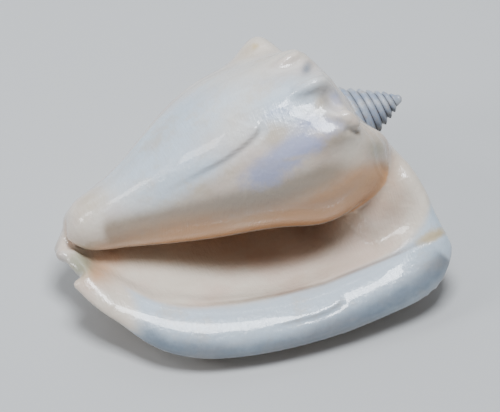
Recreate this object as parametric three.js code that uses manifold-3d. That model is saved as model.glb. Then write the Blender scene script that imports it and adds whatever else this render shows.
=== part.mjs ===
// A polished conch shell lying on its back, opening up. Millimetres, +Z up, resting on Z = 0.
// The shell is first built standing: the spire's tip at the origin, the axis straight down,
// X to the lip, Y to the back. Depth is counted down from the tip, azimuth from X toward Y.
// It coils clockwise seen from the tip, so azimuth falls as the shell grows, and a place on
// the last whorls is given by how many turns it lies before the lip.
import * as THREE from 'three';
import { mergeVertices } from 'three/addons/utils/BufferGeometryUtils.js';
import Module from 'manifold-3d';

const wasm = await Module();
wasm.setup();

const TIP_DEPTH = 145;
const LIP_AZIMUTH = -15;
const WALL = 4.4;
const RIM_THICKNESS = 14.4;
const RIM_NOSE = 20;
const FLARE_START = 0.22;

// Turns before the lip, then radius and depth of the seam with the whorl above, radius and
// depth of the shoulder, how much the belly below is shaped like the right side, and how far
// the ramp between seam and shoulder swells.
const WHORL = [
  [0.04, 12, 14, 36, 40, -0.3, 0],
  [0.15, 13.5, 17, 39, 44.5, -0.35, 0],
  [0.29, 16.5, 22, 38.5, 48, -0.3, 0],
  [0.42, 18, 25, 37, 47, -0.15, 0],
  [0.51, 18.5, 25.6, 35.8, 43, -0.05, 0],
  [0.61, 18.3, 24.4, 33.2, 33.4, 0.12, 0],
  [0.7, 17.4, 22.8, 33.4, 29.6, 0.3, 0],
  [0.79, 16.5, 21.8, 33.6, 28, 0.5, 0],
  [0.88, 15.5, 21.2, 32.5, 26.8, 0.75, 0.4],
  [0.97, 15.5, 18.2, 31.2, 26.2, 0.92, 2.6],
  [1.06, 15.5, 17, 30.6, 26.2, 1, 3],
  [1.2, 15, 16.5, 28, 25, 1.1, 3],
];

// Share of the way from shoulder to the front tip, and the radius there.
const BELLY_LEFT = [[0, 35.6], [0.15, 37.6], [0.3, 37], [0.5, 30.4], [0.7, 20], [0.85, 14.5], [0.95, 10.6]];
const BELLY_RIGHT = [[0, 30.8], [0.15, 34.4], [0.3, 29.8], [0.5, 23.6], [0.7, 17], [0.85, 11.3], [0.95, 7]];

// Where the seam, the ramp, the shoulder, the belly points and the tip stand on the 0 to 1 way down.
const PROFILE_STEPS = [0, 0.05, 0.1, 0.17, 0.26, 0.37, 0.52, 0.68, 0.81, 0.91, 1];

// Knobs on the shoulder: turns before the lip, height, half width along the whorl.
const KNOBS = [
  [0.81, 3.4, 5], [0.708, 4.2, 5.5], [0.612, 3.6, 5.5], [0.505, 10, 8],
  [0.395, 11, 9], [0.27, 12, 10], [0.135, 10, 11],
];

// How much the knobs lean to the spire.
const KNOB_LEAN = 0.14;

// Free edge of the lip from its rear corner to the lobe beside the canal: way 0 to 1, X, Y, depth.
const LIP_EDGE = [
  [0, 60.5, -6, 3.6], [0.05, 69.2, -7, 10.4], [0.13, 75.3, -8, 22], [0.24, 76.4, -10, 39],
  [0.37, 76, -12, 58], [0.52, 72.8, -14, 83], [0.66, 67.2, -15, 105.4], [0.78, 58.8, -15, 122.8],
  [0.87, 47.4, -14, 135], [0.93, 37.6, -13, 140.8], [0.97, 27, -11, 146.8], [1, 17.4, -8, 150.6],
];

// End of the canal: turns before the lip, radius, depth.
const CANAL_END = [
  [0.22, 7, 149.6], [0.29, 7.2, 148.6], [0.42, 8.2, 145.5],
  [0.52, 8.6, 142.5], [0.6, 5, 139], [0.64, 4, 138],
];

// Outline of the spire: depth, radius.
const SPIRE = [
  [0, 0], [0.35, 0.9], [1.5, 1.8], [3.5, 2.9], [8.4, 5.7], [15.6, 9.6],
  [19.5, 11.6], [23, 13.6], [27, 14.5], [32, 14], [36, 12],
];
const FIRST_PITCH = 2.2;
const PITCH_GAIN = 0.07;
const RIDGE = 0.55;

// How far the column inside stands in from the outside: azimuth, share of the radius. The
// hollow ends behind it, out of sight.
const COLUMN = [[385, 0.48], [410, 0.42], [430, 0.5], [455, 0.85], [475, 0.98], [520, 0.98], [545, 0.99]];

// The crease where the lip comes forward to meet the body: x, depth, how far forward; and how
// far that reaches to either side of it.
const LIP_CREASE = [[19.4, 15.9, 7], [26, 22.6, 12], [30, 26.9, 13], [34, 32.7, 14], [35.4, 38.5, 11]];
const CREASE_REACH_OUT = 14;
const CREASE_REACH_IN = 6;

// Direction in the standing shell that points straight up when it lies on its back.
const REST_UP = new THREE.Vector3(-0.582, -0.794, 0.178).normalize();

const shellMaterial = new THREE.MeshStandardMaterial({
  name: 'polished shell',
  color: '#ded9cf',
  roughness: 0.22,
});

function smoothStep(from, to, x) {
  const t = THREE.MathUtils.clamp((x - from) / (to - from), 0, 1);
  return t * t * (3 - 2 * t);
}

// Natural cubic spline through rows of [place, value, value, ...].
function spline(rows) {
  const x = rows.map((row) => row[0]);
  const last = x.length - 1;
  const bends = rows[0].slice(1).map((_, k) => bendOf(x, rows.map((row) => row[k + 1])));
  return (at) => {
    const t = THREE.MathUtils.clamp(at, x[0], x[last]);
    let i = 0;
    while (i < last - 1 && t > x[i + 1]) i += 1;
    const step = x[i + 1] - x[i];
    const b = (t - x[i]) / step;
    const a = 1 - b;
    return bends.map((bend, k) => {
      const curve = ((a ** 3 - a) * bend[i] + (b ** 3 - b) * bend[i + 1]) * step * step / 6;
      return a * rows[i][k + 1] + b * rows[i + 1][k + 1] + curve;
    });
  };
}

// Second derivatives of the spline at its points.
function bendOf(x, y) {
  const n = x.length;
  const carry = new Array(n).fill(0);
  const bend = new Array(n).fill(0);
  for (let i = 1; i < n - 1; i += 1) {
    const before = x[i] - x[i - 1];
    const after = x[i + 1] - x[i];
    const pull = 2 * (before + after) - before * carry[i - 1];
    carry[i] = after / pull;
    const turn = (y[i + 1] - y[i]) / after - (y[i] - y[i - 1]) / before;
    bend[i] = (6 * turn - before * bend[i - 1]) / pull;
  }
  for (let i = n - 2; i > 0; i -= 1) bend[i] -= carry[i] * bend[i + 1];
  return bend;
}

const whorlAt = spline(WHORL);
const lipEdgeAt = spline(LIP_EDGE);
const canalEndAt = spline(CANAL_END);
const spireAt = spline(SPIRE);
const columnAt = spline(COLUMN);

function azimuthOf(turns) {
  return LIP_AZIMUTH + 360 * turns;
}

function turnsAt(azimuth) {
  return (azimuth - LIP_AZIMUTH) / 360;
}

function place(azimuth, radius, depth) {
  const angle = THREE.MathUtils.degToRad(azimuth);
  return new THREE.Vector3(radius * Math.cos(angle), radius * Math.sin(angle), -depth);
}

// Outline of the whorl at one place of its growth, as a spline of radius and depth.
function whorlProfile(turns, endRadius, endDepth) {
  const [seamRadius, seamDepth, radius, depth, right, swell] = whorlAt(turns);
  const rampRadius = (seamRadius + radius + swell) / 2;
  const rampDepth = seamDepth + (depth - seamDepth) * 0.4 - swell * 0.85;
  const points = [
    [seamRadius * 0.56, seamDepth - 3],
    [seamRadius, seamDepth],
    [rampRadius, rampDepth],
    [radius, depth],
  ];
  const wider = radius - THREE.MathUtils.lerp(BELLY_LEFT[0][1], BELLY_RIGHT[0][1], right);
  for (let i = 1; i < BELLY_LEFT.length; i += 1) {
    const way = BELLY_LEFT[i][0];
    const belly = THREE.MathUtils.lerp(BELLY_LEFT[i][1], BELLY_RIGHT[i][1], right);
    points.push([belly + wider * Math.max(0, 1 - way * 1.4), depth + (TIP_DEPTH - depth) * way]);
  }
  points.push([endRadius, endDepth]);
  return spline(points.map((point, i) => [PROFILE_STEPS[i], ...point]));
}

// How far the knobs stand out at one place of the growth and of the way down.
function knobHeight(turns, way, radius) {
  const below = way - 0.175;
  const peak = Math.exp(-((below / (below < 0 ? 0.045 : 0.055)) ** 2));
  const fold = below < 0 ? peak : 0.75 * peak + 0.25 * Math.exp(-((below / 0.22) ** 2));
  return KNOBS.reduce((sum, [at, height, width]) => {
    const away = (turns - at) * 2 * Math.PI * Math.max(radius, 20);
    return sum + height * fold * Math.exp(-((away / width) ** 2));
  }, 0);
}

// Places down the whorl, close together round the shoulder.
const spacedDown = spline([[0, 0], [0.2, 0.115], [0.48, 0.255], [0.77, 0.72], [0.92, 0.94], [1, 1]]);

function waysDown(count) {
  return evenSteps(count, 0, 1).map((t) => spacedDown(t)[0]);
}

function evenSteps(count, from, to) {
  return Array.from({ length: count }, (_, i) => from + (to - from) * i / (count - 1));
}

// Rounded thinning toward an edge: 0 on it, 1 from the given reach inward.
function roundedEdge(distance, reach) {
  const left = 1 - THREE.MathUtils.clamp(distance / reach, 0, 1);
  return Math.sqrt(1 - left * left);
}

// The body of the shell without the last outer wall: the front and left side that shows, and
// the column that stands inside the opening.
function bodyGrid(shownSteps, hiddenSteps, down) {
  const ways = waysDown(down);
  const grid = [];
  const shownAzimuths = evenSteps(shownSteps + 1, 185, 380);
  const hiddenAzimuths = evenSteps(hiddenSteps + 1, 380, 545).slice(1, -1);
  for (const azimuth of [...shownAzimuths, ...hiddenAzimuths]) {
    const turns = turnsAt(azimuth);
    const shown = whorlProfile(Math.min(turns, 1.12), 0, TIP_DEPTH);
    const hidden = whorlProfile(turns - 1, 0, TIP_DEPTH);
    const column = columnAt(azimuth)[0];
    const inside = smoothStep(368, 400, azimuth);
    const rejoin = smoothStep(520, 545, azimuth);
    grid.push(ways.map((way) => {
      const [outR, outD] = shown(way);
      const [backR, backD] = hidden(way);
      const outKnob = knobHeight(turns, way, outR);
      const backKnob = knobHeight(turns - 1, way, backR) * rejoin;
      const drawIn = (1 - (1 - column) * smoothStep(0.02, 0.16, way)) * THREE.MathUtils.lerp(0.93, 1, rejoin);
      const sink = 2.5 * (1 - smoothStep(0.1, 0.25, way)) * (1 - rejoin);
      const innerR = THREE.MathUtils.lerp(backR * drawIn, backR, rejoin) + backKnob;
      const innerD = backD + sink - KNOB_LEAN * backKnob;
      const radius = THREE.MathUtils.lerp(outR + outKnob, innerR, inside);
      const depth = THREE.MathUtils.lerp(outD - KNOB_LEAN * outKnob, innerD, inside);
      return place(azimuth, Math.max(radius, 0), depth);
    }));
  }
  return grid;
}

// Skeleton of the outer wall. Along 0 to 1 it first follows the whorl round the back, then
// flares out to the lip's free edge. Way 0 to 1 runs down from the spire to the canal.
function coiledSkeleton(turns, way) {
  const outside = (t, w) => {
    const profile = whorlProfile(t, ...canalEndAt(t));
    const [radius, depth] = profile(THREE.MathUtils.clamp(w, 0, 1));
    return place(azimuthOf(t), radius, depth);
  };
  const low = Math.max(way - 0.01, 0);
  const high = Math.min(way + 0.01, 1);
  const onward = outside(turns - 0.004, way).sub(outside(turns + 0.004, way));
  const downward = outside(turns, high).sub(outside(turns, low));
  const outward = onward.cross(downward).normalize();
  const start = 0.6 * smoothStep(0.5, 0.6, turns);
  return outside(turns, way).addScaledVector(outward, -WALL / 2 * (1 + start));
}

const lipSlant = spline([[0, -8], [0.1, 5], [0.3, 14], [0.7, 22], [0.9, 30], [1, 40]]);
const lipRise = spline([
  [0, 0.25], [0.1, 0.2], [0.25, 0.06], [0.5, -0.06], [0.75, -0.3], [0.9, -0.5], [1, -0.45],
]);
const flareReach = spline([[0, 0.36], [0.1, 0.42], [0.3, 0.45], [1, 0.42]]);

function flareCurve(way) {
  const root = coiledSkeleton(FLARE_START, way);
  const leaving = root.clone().sub(coiledSkeleton(FLARE_START + 0.004, way)).normalize();
  leaving.z += 0.1 * (1 - smoothStep(0, 0.15, way));
  const [x, y, depth] = lipEdgeAt(way);
  const edge = new THREE.Vector3(x, y, -depth);
  const slant = THREE.MathUtils.degToRad(lipSlant(way)[0]);
  const arriving = new THREE.Vector3(Math.cos(slant), -Math.sin(slant), lipRise(way)[0]).normalize();
  const span = edge.distanceTo(root);
  return new THREE.CubicBezierCurve3(
    root,
    root.clone().addScaledVector(leaving, span * flareReach(way)[0]),
    edge.clone().addScaledVector(arriving, -span * 0.38),
    edge,
  );
}

// The outer wall as two grids, outside and inside, that meet along its free edges.
function wallGrids(coiled, flared, down) {
  const ways = waysDown(down);
  const coil = evenSteps(coiled, 0.6, FLARE_START);
  const flare = evenSteps(flared + 1, 0, 1).slice(1).map((t) => 0.45 * t + 0.55 * Math.sin(t * Math.PI / 2));
  const curves = ways.map(flareCurve);
  const middle = [
    ...coil.map((turns) => ways.map((way) => coiledSkeleton(turns, way))),
    ...flare.map((out) => ways.map((way, j) => {
      const notch = 5 * Math.exp(-(((out - 0.62) / 0.22) ** 2)) * smoothStep(0.9, 1, way) ** 1.5;
      const point = curves[j].getPoint(out);
      point.z += notch;
      return point;
    })),
  ];
  const outs = [...coil.map(() => 0), ...flare];
  const grown = [...coil, ...flare.map((out) => FLARE_START * (1 - out))];
  const normals = gridNormals(middle);
  const toRim = distancesToEnd(middle);
  const fromTop = middle.map((row) => runningLength(row));
  const outside = [];
  const inside = [];
  middle.forEach((row, i) => {
    outside.push([]);
    inside.push([]);
    row.forEach((point, j) => {
      const rise = creaseRise(point) * smoothStep(0, 0.25, outs[i]) * roundedEdge(fromTop[i][j], 9);
      const half = halfThickness(ways[j], outs[i], toRim[i][j], fromTop[i][j], fromTop[i][down - 1]);
      const outer = point.clone().addScaledVector(normals[i][j], half);
      const radius = Math.hypot(outer.x, outer.y);
      const knob = knobHeight(grown[i], ways[j], Math.min(radius, 40)) * (1 - smoothStep(0.25, 0.7, outs[i]));
      outer.add(new THREE.Vector3(outer.x / radius, outer.y / radius, KNOB_LEAN).multiplyScalar(knob));
      outside[i].push(outer);
      inside[i].push(point.clone().addScaledVector(normals[i][j], -half).add(new THREE.Vector3(0, -rise, 0)));
    });
  });
  return { outside, inside };
}

// How far the lip's inner face comes forward near its crease with the body.
function creaseRise(point) {
  let nearest = Infinity;
  let rise = 0;
  for (let i = 0; i < LIP_CREASE.length - 1; i += 1) {
    const [x, depth, riseHere] = LIP_CREASE[i];
    const [dx, dd, more] = LIP_CREASE[i + 1].map((value, k) => value - LIP_CREASE[i][k]);
    const gx = point.x - x;
    const gd = -point.z - depth;
    const share = THREE.MathUtils.clamp((gx * dx + gd * dd) / (dx * dx + dd * dd), 0, 1);
    const gap = Math.hypot(gx - share * dx, gd - share * dd);
    const reach = dx * gd < dd * gx ? CREASE_REACH_OUT : CREASE_REACH_IN;
    if (gap < nearest) {
      nearest = gap;
      rise = (riseHere + share * more) * Math.exp(-((gap / reach) ** 2));
    }
  }
  return rise;
}

const rimFullness = spline([[0, 0.25], [0.06, 0.75], [0.15, 1], [0.7, 1], [0.88, 0.6], [1, 0.3]]);

function halfThickness(way, out, toRim, fromTop, length) {
  const full = rimFullness(way)[0];
  const grown = WALL / 2 + (RIM_THICKNESS - WALL) / 2 * full * smoothStep(36, 15, toRim);
  const rim = roundedEdge(toRim, RIM_NOSE * (0.4 + 0.6 * full));
  const top = 1 - (1 - roundedEdge(fromTop, 4.5)) * smoothStep(0, 0.08, out);
  return grown * rim * top * roundedEdge(length - fromTop, 3);
}

function gridNormals(grid) {
  const lastRow = grid.length - 1;
  const lastColumn = grid[0].length - 1;
  const at = (i, j) => grid[THREE.MathUtils.clamp(i, 0, lastRow)][THREE.MathUtils.clamp(j, 0, lastColumn)];
  return grid.map((row, i) => row.map((_, j) => {
    const along = at(i + 1, j).clone().sub(at(i - 1, j));
    const down = at(i, j + 1).clone().sub(at(i, j - 1));
    return along.cross(down).normalize();
  }));
}

function runningLength(points) {
  let sum = 0;
  return points.map((point, i) => {
    if (i > 0) sum += point.distanceTo(points[i - 1]);
    return sum;
  });
}

function distancesToEnd(grid) {
  const columns = grid[0].map((_, j) => runningLength(grid.map((row) => row[j]).reverse()).reverse());
  return grid.map((_, i) => columns.map((column) => column[i]));
}

// The spire: a cone whose seams wind down it, each whorl a rounded ridge with small nodes.
function spireGrid(around, down) {
  const depths = evenSteps(down, 0, 1).map((t) => 36 * t ** 1.15);
  return Array.from({ length: around }, (_, i) => {
    const azimuth = 360 * i / around;
    return depths.map((depth) => place(azimuth, spireRadius(depth, azimuth), depth));
  });
}

function spireRadius(depth, azimuth) {
  const whorls = Math.log1p(PITCH_GAIN * depth / FIRST_PITCH) / PITCH_GAIN;
  const phase = whorls + azimuth / 360 + 0.62;
  const within = phase - Math.floor(phase);
  const ridge = Math.sin(Math.PI * within ** 0.8) ** 0.7 - 0.55;
  const shown = smoothStep(0.5, 6, depth) * (1 - 0.6 * smoothStep(20, 24, depth));
  return spireAt(depth)[0] + RIDGE * ridge * shown;
}

function triangles(rows, columns, wrap, index) {
  const faces = [];
  const end = wrap ? rows : rows - 1;
  for (let i = 0; i < end; i += 1) {
    for (let j = 0; j < columns - 1; j += 1) {
      const next = (i + 1) % rows;
      const [a, b, c, d] = [index(i, j), index(next, j), index(next, j + 1), index(i, j + 1)];
      faces.push([a, c, b], [a, d, c]);
    }
  }
  return faces;
}

// A grid that closes round the axis, with a point at each end.
function capsule(grid) {
  const rows = grid.length;
  const columns = grid[0].length;
  const points = grid.flat();
  const top = points.push(new THREE.Vector3(0, 0, average(grid.map((row) => row[0].z)))) - 1;
  const bottom = points.push(new THREE.Vector3(0, 0, average(grid.map((row) => row[columns - 1].z)))) - 1;
  const index = (i, j) => i * columns + j;
  const faces = triangles(rows, columns, true, index);
  for (let i = 0; i < rows; i += 1) {
    const next = (i + 1) % rows;
    faces.push([top, index(i, 0), index(next, 0)]);
    faces.push([bottom, index(next, columns - 1), index(i, columns - 1)]);
  }
  return solid(points, faces);
}

// Two grids back to back, sewn together round their border.
function slab(outside, inside) {
  const rows = outside.length;
  const columns = outside[0].length;
  const points = [...outside.flat(), ...inside.flat()];
  const outer = (i, j) => i * columns + j;
  const inner = (i, j) => rows * columns + i * columns + j;
  const faces = triangles(rows, columns, false, outer).map(([a, b, c]) => [a, c, b]);
  faces.push(...triangles(rows, columns, false, inner));
  const border = [];
  for (let j = 0; j < columns - 1; j += 1) border.push([0, j]);
  for (let i = 0; i < rows - 1; i += 1) border.push([i, columns - 1]);
  for (let j = columns - 1; j > 0; j -= 1) border.push([rows - 1, j]);
  for (let i = rows - 1; i > 0; i -= 1) border.push([i, 0]);
  border.forEach((here, k) => {
    const there = border[(k + 1) % border.length];
    faces.push([outer(...here), outer(...there), inner(...there)]);
    faces.push([outer(...here), inner(...there), inner(...here)]);
  });
  return solid(points, faces);
}

function average(values) {
  return values.reduce((sum, value) => sum + value, 0) / values.length;
}

// A closed solid ready to be joined. Points that coincide become one, facing outward.
function solid(points, faces) {
  const loose = new THREE.BufferGeometry().setFromPoints(points);
  loose.setIndex(faces.flat());
  const merged = mergeVertices(loose, 1e-3);
  const kept = [];
  const index = merged.index.array;
  for (let i = 0; i < index.length; i += 3) {
    const [a, b, c] = index.slice(i, i + 3);
    if (a !== b && b !== c && a !== c) kept.push(a, b, c);
  }
  const mesh = { numProp: 3, vertProperties: new Float32Array(merged.attributes.position.array) };
  const whole = new wasm.Manifold(new wasm.Mesh({ ...mesh, triVerts: new Uint32Array(kept) }));
  if (whole.volume() > 0) return whole;
  const turned = [];
  for (let i = 0; i < kept.length; i += 3) turned.push(kept[i], kept[i + 2], kept[i + 1]);
  return new wasm.Manifold(new wasm.Mesh({ ...mesh, triVerts: new Uint32Array(turned) }));
}

function conchGeometry() {
  const { outside, inside } = wallGrids(20, 20, 32);
  const body = capsule(bodyGrid(46, 17, 32));
  const wall = slab(outside, inside);
  const spire = capsule(spireGrid(30, 20));
  const joined = body.add(wall).add(spire);
  const mesh = joined.getMesh();
  const geometry = new THREE.BufferGeometry();
  geometry.setAttribute('position', new THREE.BufferAttribute(new Float32Array(mesh.vertProperties), 3));
  geometry.setIndex(new THREE.BufferAttribute(new Uint32Array(mesh.triVerts), 1));
  return geometry;
}

// Lays the standing shell on its back, tip toward +X, and sets it on the floor at the origin.
function layDown(geometry) {
  const forward = new THREE.Vector3(0, 0, 1).projectOnPlane(REST_UP).normalize();
  const sideways = REST_UP.clone().cross(forward);
  const turn = new THREE.Matrix4().makeBasis(forward, sideways, REST_UP).transpose();
  geometry.applyMatrix4(turn);
  geometry.computeBoundingBox();
  const { min, max } = geometry.boundingBox;
  geometry.translate(-(min.x + max.x) / 2, -(min.y + max.y) / 2, -min.z);
  geometry.computeVertexNormals();
  return geometry;
}

const shell = new THREE.Mesh(layDown(conchGeometry()), shellMaterial);
shell.name = 'conch_shell';

const conch = new THREE.Group();
conch.name = 'conch';
conch.add(shell);

export default conch;
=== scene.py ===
"""A polished conch shell on a pale floor. The shell's surface is grown here in fine detail.

Millimetres in the standing shell: spire's tip at the origin, axis down, X to the lip, Y to
the back. Depth is counted down from the tip, azimuth from X toward Y. lay_down() brings it
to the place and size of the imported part.
"""

import math

import bpy
import numpy as np
from mathutils import Matrix, Vector, kdtree


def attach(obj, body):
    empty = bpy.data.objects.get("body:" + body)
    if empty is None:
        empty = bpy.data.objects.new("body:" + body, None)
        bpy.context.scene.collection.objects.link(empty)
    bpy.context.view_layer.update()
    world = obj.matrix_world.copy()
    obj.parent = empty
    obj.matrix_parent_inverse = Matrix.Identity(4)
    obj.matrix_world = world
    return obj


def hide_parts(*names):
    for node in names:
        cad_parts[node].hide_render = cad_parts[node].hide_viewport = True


TAU = 2 * math.pi

# The shell's narrow lower end, the azimuth of the lip's root, wall and rim in mm, how far in
# from its edge the rim is rounded, turns before the lip where the wall leaves the coil, and
# how much a knob leans toward the spire.
TIP_DEPTH = 145.0
LIP_AZIMUTH = -15.0
WALL = 4.4
RIM_THICKNESS = 14.4
RIM_NOSE = 20.0
FLARE_START = 0.22
KNOB_LEAN = 0.14

# Turns before the lip; radius and depth of the seam; radius and depth of the shoulder; how
# much the belly is like the right side; swell of the ramp.
WHORL = [
    (0.04, 12, 14, 36, 40, -0.3, 0),
    (0.15, 13.5, 17, 39, 44.5, -0.35, 0),
    (0.29, 16.5, 22, 38.5, 48, -0.3, 0),
    (0.42, 18, 25, 37, 47, -0.15, 0),
    (0.51, 18.5, 25.6, 35.8, 43, -0.05, 0),
    (0.61, 18.3, 24.4, 33.2, 33.4, 0.12, 0),
    (0.7, 17.4, 22.8, 33.4, 29.6, 0.3, 0),
    (0.79, 16.5, 21.8, 33.6, 28, 0.5, 0),
    (0.88, 15.5, 21.2, 32.5, 26.8, 0.75, 0.4),
    (0.97, 15.5, 18.2, 31.2, 26.2, 0.92, 2.6),
    (1.06, 15.5, 17, 30.6, 26.2, 1, 3),
    (1.2, 15, 16.5, 28, 25, 1.1, 3),
]
LAST_TURN = 1.12

# The belly's radius at shares of the way from shoulder to lower end, on both sides, and the
# shares of the whole outline at which its points lie.
BELLY = [0.15, 0.3, 0.5, 0.7, 0.85, 0.95]
BELLY_LEFT = [37.6, 37, 30.4, 20, 14.5, 10.6]
BELLY_RIGHT = [34.4, 29.8, 23.6, 17, 11.3, 7]
SHOULDER_LEFT = 35.6
SHOULDER_RIGHT = 30.8
PROFILE_STEPS = [0, 0.05, 0.1, 0.17, 0.26, 0.37, 0.52, 0.68, 0.81, 0.91, 1]

# Knobs: turns before the lip, height and half width in mm.
KNOBS = [
    (0.81, 3.4, 5), (0.708, 4.2, 5.5), (0.612, 3.6, 5.5), (0.505, 10, 8),
    (0.395, 11, 9), (0.27, 12, 10), (0.135, 10, 11),
]
KNOB_WAY = 0.175

# The body's azimuths, where it goes into the mouth, and where it comes out again. The column's
# share of the coil's radius in between.
BODY_AZIMUTHS = (185, 545)
INTO_MOUTH = (368, 400)
OUT_OF_MOUTH = (520, 545)
COLUMN = [(385, 0.48), (410, 0.42), (430, 0.5), (455, 0.85), (475, 0.98), (520, 0.98), (545, 0.99)]

# The lip's free edge, by way down it: x, y and depth. The smoothing of the rim draws the edge
# in, and RIM_ALLOWANCE makes up for that.
LIP_EDGE = [
    (0, 60.5, -6, 3.6), (0.05, 69.2, -7, 10.4), (0.13, 75.3, -8, 22), (0.24, 76.4, -10, 39),
    (0.37, 76, -12, 58), (0.52, 72.8, -14, 83), (0.66, 67.2, -15, 105.4), (0.78, 58.8, -15, 122.8),
    (0.87, 47.4, -14, 135), (0.93, 37.6, -13, 140.8), (0.97, 27, -11, 146.8), (1, 17.4, -8, 150.6),
]
RIM_ALLOWANCE = 2.4

# By way down the lip: degrees its edge turns to the front, its rise at the edge, share of the
# span over which it leaves the coil straight, and fullness of the rim.
LIP_SLANT = [(0, -8), (0.1, 5), (0.3, 14), (0.7, 22), (0.9, 30), (1, 40)]
LIP_RISE = [(0, 0.25), (0.1, 0.2), (0.25, 0.06), (0.5, -0.06), (0.75, -0.3), (0.9, -0.5), (1, -0.45)]
FLARE_REACH = [(0, 0.36), (0.1, 0.42), (0.3, 0.45), (1, 0.42)]
RIM_FULLNESS = [(0, 0.25), (0.06, 0.75), (0.15, 1), (0.7, 1), (0.88, 0.6), (0.95, 0.25), (1, 0.1)]
NOTCH_DEPTH = 4.6

# Lower end of the coiled wall, by turns before the lip: radius and depth.
CANAL_END = [
    (0.22, 7, 149.4), (0.29, 7.2, 148.2), (0.42, 8.2, 145.2),
    (0.52, 8.6, 142.5), (0.6, 5, 139), (0.64, 4, 138),
]

# The crease where the lip comes forward to meet the body: x, depth, how far forward; and how
# far that reaches to either side of it.
LIP_CREASE = [(19.4, 15.9, 7), (26, 22.6, 12), (30, 26.9, 13), (34, 32.7, 13), (35.4, 38.5, 8)]
CREASE_REACH_OUT = 14
CREASE_REACH_IN = 6

# The spire: radius by depth, its turns' first pitch in mm, and how fast the pitch grows.
SPIRE = [
    (0, 0), (0.35, 0.9), (1.5, 1.8), (3.5, 2.9), (8.4, 5.7), (15.6, 9.6),
    (19.5, 11.6), (23, 13.6), (27, 14.5), (32, 14), (36, 12),
]
SPIRE_LENGTH = 36
FIRST_PITCH = 2.2
PITCH_GAIN = 0.07
NODES_PER_TURN = 17

# How the shell lies, and where the camera stands.
REST_UP = Vector((-0.582, -0.794, 0.178)).normalized()
CENTRE = Vector((72.81, 10.66, 54.58))
CAMERA_DISTANCE = 2200
LENS_PER_DISTANCE = 0.18
CAMERA_TILT = 6
CAMERA_ROLL = -67
PICTURE_MIDDLE = (-60.4, -43.2, -10)
PIXELS_PER_MM = 2.5
TIP_IN_PICTURE = (401, 98)

# Steps around and down the body; steps on the coiled and the flared wall and down it; steps of
# the spire; and how finely body, lip and growths are grown together, in mm.
BODY_GRID = (360, 220)
WALL_GRID = (120, 150, 220)
SPIRE_STEPS = 300
VOXEL = 0.92

# Evening takes a step toward the neighbours' mean and a slightly longer one back. Melting goes
# toward it alone. What is known of the surface is read at every third point of the grids.
EVENING_STEPS = (0.6, -0.63)
EVENING_ROUNDS = 12
MELTING_ROUNDS = 110
FACT_ROUNDS = 4
FACT_STRIDE = 3

# What is known of the surface at each of its points.
SKIN = ("body", "column", "outer", "inner", "way", "turns", "to_rim")

# Rounded growths: place along, place in the photograph in its pixels, mm toward the camera,
# radius in mm. The callus and the pad below it fill the corner between the front knob, the
# spire and the lip. The tooth closes the canal at the shell's lower end. The noses are the
# tips of three knobs.
CALLUS = [
    (0, 352, 134, 34, 3.2), (0.25, 360, 140, 26.4, 5.6), (0.5, 368, 145, 18, 7.4),
    (0.75, 372, 149, 10, 7.6), (1, 374, 153, 3, 6.5),
]
PAD = [(0, 364, 148, 20, 6.8), (0.5, 374, 156, 13, 5.8), (1, 378, 168, 8, 4.6)]
TOOTH = [
    (0, 65.5, 230, 6.5, 1.2), (0.45, 61.6, 244, 7.8, 2), (0.8, 62.6, 252.5, 8.4, 2.5),
    (1, 66, 257, 9, 1.8),
]
FRONT_NOSE = [
    (0, 324, 114, 36.3, 2.6), (0.4, 335, 117, 38.2, 2.9), (0.75, 346, 120.5, 39, 2.9),
    (1, 351.5, 124, 37.8, 2.9),
]
MIDDLE_NOSE = [
    (0, 296, 95, 37, 2.2), (0.5, 309, 88.5, 38.3, 2.7), (0.8, 318, 84.5, 37.8, 2.6),
    (1, 322.5, 84, 36.4, 2.4),
]
UPPER_NOSE = [(0, 278, 69, 23.6, 2.2), (0.5, 288, 62, 23.2, 2.3), (1, 296.5, 57.5, 21.8, 2)]
NOSES = [FRONT_NOSE, MIDDLE_NOSE, UPPER_NOSE]
GROWTH_END = 0.14
GROWTH_GRID = (60, 48)
GROWTH_SAMPLES = 30

# Lines that the photograph shows, in its pixels.
HOOK = [
    (258, 129), (256.5, 134), (251, 140), (243, 147), (225, 160), (203, 172), (180, 183), (160, 195),
]
CREST = [(326, 82), (331, 92), (336, 101), (342, 110), (348, 116), (355, 121)]
KNOB_VALLEY = [(322, 91), (327, 100), (333, 108), (341, 114)]
KNOB_UNDERSIDE = [(342, 131), (351, 133.5), (359, 135)]
KNOB_SHADOW = [(344, 131), (352, 133), (359, 134)]
FRONT_FOLD = [(322, 112), (335, 116), (348, 121.5), (357, 127)]
MIDDLE_FOLD = [(283, 100), (300, 93), (314, 86), (325, 82)]
UPPER_FOLD = [(281, 67), (290, 59), (299, 54)]
SUTURE = [(322, 75), (327, 80), (338, 92), (346, 101), (352, 109), (357, 118), (359, 125)]
GROOVE = [
    (450, 232), (420, 243), (380, 260), (352, 271), (324, 282), (280, 293), (240, 300), (200, 303),
    (160, 299),
]
LAMELLA = [(343, 298), (336, 304), (328, 309), (315, 314), (300, 318), (282, 322), (262, 325)]
LIP_SWELL = [(185, 283), (235, 279), (280, 271), (330, 263)]
LIP_HOLLOW = [(160, 288), (210, 294), (260, 291), (320, 279)]
LIP_FOLD = [(383, 180), (380, 190), (376, 199), (371, 208), (370, 214)]
LOWER_EDGE = [
    (75, 250), (95, 250), (150, 243), (200, 238), (250, 231), (300, 222), (336, 218), (361, 207),
    (377, 179), (386, 158),
]
# Above the body's lower edge a grey band is painted shade.
ABOVE_EDGE = [(100, 236), (200, 213), (270, 197), (330, 176), (372, 160)]
# Along this line the rim's underside is given painted shade in slate.
RIM_UNDERSIDE = [(128, 326), (170, 347), (235, 353), (300, 342), (360, 317), (420, 284), (448, 255)]

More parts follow.
